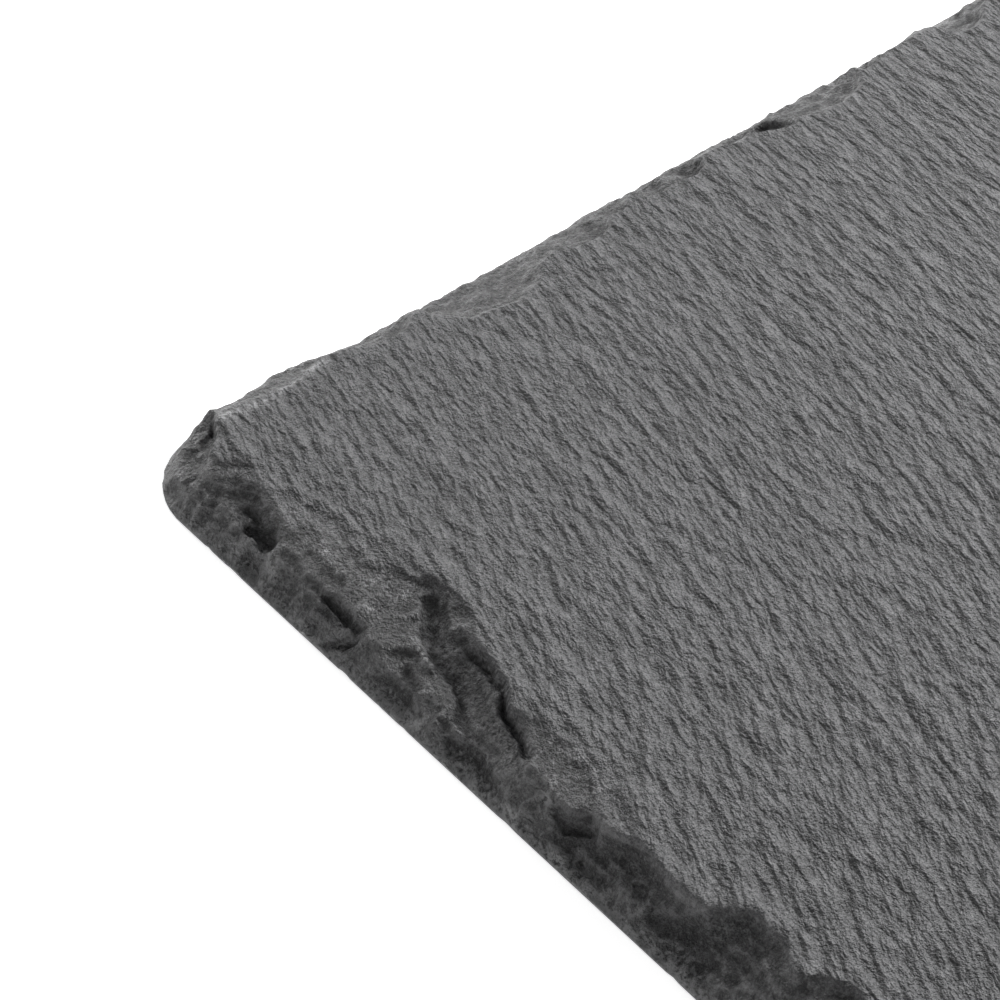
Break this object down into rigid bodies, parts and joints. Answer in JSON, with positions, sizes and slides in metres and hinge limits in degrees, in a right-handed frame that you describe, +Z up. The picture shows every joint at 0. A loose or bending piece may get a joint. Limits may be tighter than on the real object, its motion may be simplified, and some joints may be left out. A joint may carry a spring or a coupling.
{
  "type": "slate slab",
  "caption": "Rectangular slab of riven slate with knapped, bevelled edges and a flat underside.",
  "frame": {"origin": "middle of the underside", "axes": "+X along the long side, +Y along the short side, +Z up from the underside to the upper face"},
  "size_m": [0.28, 0.18, 0.0055],
  "materials": {
    "slate": "dull, riven"
  },
  "bodies": {
    "root": {"slate_slab": "slate"}
  },
  "joints": []
}
